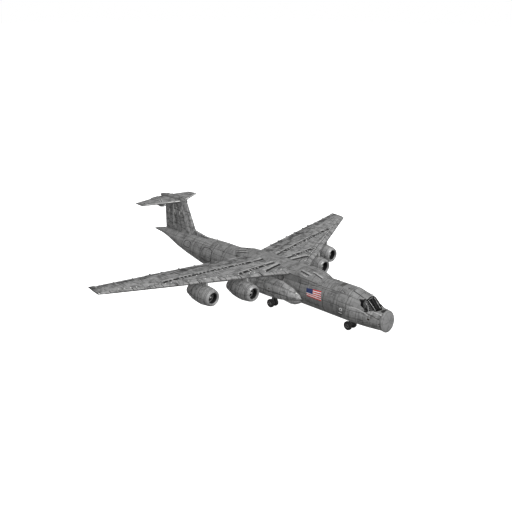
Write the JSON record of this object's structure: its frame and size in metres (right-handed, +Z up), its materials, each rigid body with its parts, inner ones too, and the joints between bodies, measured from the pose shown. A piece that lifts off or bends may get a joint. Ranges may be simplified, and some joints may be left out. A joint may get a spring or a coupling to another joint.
{
  "type": "half-size scale model of a four-engined military transport plane",
  "caption": "High swept wing transport plane on its gear, with podded fans, a T-tail, side fairings, turning wheels, moving tail and wing surfaces, and a rear loading ramp.",
  "frame": {"origin": "on the ground under the middle of the whole box, where it parks", "axes": "+Z up, nose towards -Y, port side +X"},
  "size_m": [24, 23.1019, 5.54],
  "materials": {
    "grey_paint": "weathered mid grey, matt, with dark panel lines",
    "dark_paint": "dark grey, matt",
    "bare_steel": "dull metal",
    "tyre_rubber": "black, matt",
    "glass": "dark tinted"
  },
  "bodies": {
    "airframe": {"cargo_floor": "dark_paint", "centre_fuselage": "grey_paint", "cheek_fairing_port": "grey_paint", "cheek_fairing_starboard": "grey_paint", "cockpit_glass": "glass", "engine_core_port_inner": "bare_steel", "engine_core_port_outer": "bare_steel", "engine_core_starboard_inner": "bare_steel", "engine_core_starboard_outer": "bare_steel", "fin": "grey_paint", "flap_port": "grey_paint", "flap_starboard": "grey_paint", "flight_deck": "dark_paint", "main_leg_port_front": "bare_steel", "main_leg_port_rear": "bare_steel", "main_leg_starboard_front": "bare_steel", "main_leg_starboard_rear": "bare_steel", "nacelle_port_inner": "grey_paint", "nacelle_port_outer": "grey_paint", "nacelle_starboard_inner": "grey_paint", "nacelle_starboard_outer": "grey_paint", "nose_gear_housing": "bare_steel", "nose_section": "grey_paint", "pylon_port_inner": "grey_paint", "pylon_port_outer": "grey_paint", "pylon_starboard_inner": "grey_paint", "pylon_starboard_outer": "grey_paint", "radome": "grey_paint", "sponson_port": "grey_paint", "sponson_starboard": "grey_paint", "stabiliser": "grey_paint", "tail_bullet": "grey_paint", "tail_section": "grey_paint", "tail_tip": "grey_paint", "wing_centre": "grey_paint", "wing_port": "grey_paint", "wing_root_fairing": "grey_paint", "wing_starboard": "grey_paint"},
    "aileron_port": {"aileron_port": "grey_paint"},
    "aileron_starboard": {"aileron_starboard": "grey_paint"},
    "cargo_ramp": {"cargo_ramp": "grey_paint"},
    "crew_door": {"crew_door": "grey_paint"},
    "elevator_port": {"elevator_port": "grey_paint"},
    "elevator_starboard": {"elevator_starboard": "grey_paint"},
    "fan_port_inner": {"fan_port_inner": "bare_steel"},
    "fan_port_outer": {"fan_port_outer": "bare_steel"},
    "fan_starboard_inner": {"fan_starboard_inner": "bare_steel"},
    "fan_starboard_outer": {"fan_starboard_outer": "bare_steel"},
    "main_wheels_port_front": {"main_wheels_port_front": "tyre_rubber"},
    "main_wheels_port_rear": {"main_wheels_port_rear": "tyre_rubber"},
    "main_wheels_starboard_front": {"main_wheels_starboard_front": "tyre_rubber"},
    "main_wheels_starboard_rear": {"main_wheels_starboard_rear": "tyre_rubber"},
    "nose_leg": {"nose_leg": "bare_steel"},
    "nose_wheels": {"nose_wheels": "tyre_rubber"},
    "rear_cargo_door": {"rear_cargo_door": "grey_paint"},
    "rudder": {"rudder": "grey_paint"}
  },
  "joints": [
    {"name": "nose_steering", "type": "hinge", "parent": "airframe", "child": "nose_leg", "pos_m": [0, -8.6, 0.3], "axis": [0, 0, 1], "range_deg": [-50, 50]},
    {"name": "nose_wheels_spin", "type": "hinge", "parent": "nose_leg", "child": "nose_wheels", "pos_m": [0, -8.6, 0.3], "axis": [1, 0, 0], "continuous": true},
    {"name": "main_wheels_starboard_front_spin", "type": "hinge", "parent": "airframe", "child": "main_wheels_starboard_front", "pos_m": [-0.995, -2.65, 0.3], "axis": [1, 0, 0], "continuous": true},
    {"name": "main_wheels_starboard_rear_spin", "type": "hinge", "parent": "airframe", "child": "main_wheels_starboard_rear", "pos_m": [-0.995, 0.5, 0.3], "axis": [1, 0, 0], "continuous": true},
    {"name": "main_wheels_port_front_spin", "type": "hinge", "parent": "airframe", "child": "main_wheels_port_front", "pos_m": [0.995, -2.65, 0.3], "axis": [1, 0, 0], "continuous": true},
    {"name": "main_wheels_port_rear_spin", "type": "hinge", "parent": "airframe", "child": "main_wheels_port_rear", "pos_m": [0.995, 0.5, 0.3], "axis": [1, 0, 0], "continuous": true},
    {"name": "fan_starboard_inner_spin", "type": "hinge", "parent": "airframe", "child": "fan_starboard_inner", "pos_m": [-3.59, -2.93, 1.9], "axis": [0, 1, 0], "continuous": true},
    {"name": "fan_starboard_outer_spin", "type": "hinge", "parent": "airframe", "child": "fan_starboard_outer", "pos_m": [-5.97, -1.67, 1.9], "axis": [0, 1, 0], "continuous": true},
    {"name": "fan_port_inner_spin", "type": "hinge", "parent": "airframe", "child": "fan_port_inner", "pos_m": [3.59, -2.93, 1.9], "axis": [0, 1, 0], "continuous": true},
    {"name": "fan_port_outer_spin", "type": "hinge", "parent": "airframe", "child": "fan_port_outer", "pos_m": [5.97, -1.67, 1.9], "axis": [0, 1, 0], "continuous": true},
    {"name": "cargo_ramp_hinge", "type": "hinge", "parent": "airframe", "child": "cargo_ramp", "pos_m": [0, 3.64, 0.692], "axis": [-1, 0, 0], "range_deg": [0, 30]},
    {"name": "rear_cargo_door_hinge", "type": "hinge", "parent": "airframe", "child": "rear_cargo_door", "pos_m": [0, 8.6, 1.98071], "axis": [-1, 0, 0], "range_deg": [0, 22]},
    {"name": "crew_door_hinge", "type": "hinge", "parent": "airframe", "child": "crew_door", "pos_m": [0.81347, -7.85, 1.02], "axis": [0, 1, 0], "range_deg": [0, 125]},
    {"name": "aileron_starboard_hinge", "type": "hinge", "parent": "airframe", "child": "aileron_starboard", "pos_m": [-8.3, 1.50088, 2.87869], "axis": [0.9615, -0.2746, -0.0053], "range_deg": [-20, 20]},
    {"name": "aileron_port_hinge", "type": "hinge", "parent": "airframe", "child": "aileron_port", "pos_m": [8.3, 1.50088, 2.87869], "axis": [0.9615, 0.2746, 0.0053], "range_deg": [-20, 20]},
    {"name": "elevator_starboard_hinge", "type": "hinge", "parent": "airframe", "child": "elevator_starboard", "pos_m": [-0.38, 10.1, 5.17581], "axis": [0.998, 0, 0.0635], "range_deg": [-20, 20]},
    {"name": "elevator_port_hinge", "type": "hinge", "parent": "airframe", "child": "elevator_port", "pos_m": [0.38, 10.1, 5.17581], "axis": [0.998, 0, -0.0635], "range_deg": [-20, 20]},
    {"name": "rudder_hinge", "type": "hinge", "parent": "airframe", "child": "rudder", "pos_m": [0, 9.25, 3], "axis": [0, 0, 1], "range_deg": [-25, 25]}
  ],
  "couplings": [
    {"joint": "aileron_port_hinge", "follows": "aileron_starboard_hinge", "ratio": -1},
    {"joint": "elevator_port_hinge", "follows": "elevator_starboard_hinge", "ratio": 1}
  ]
}
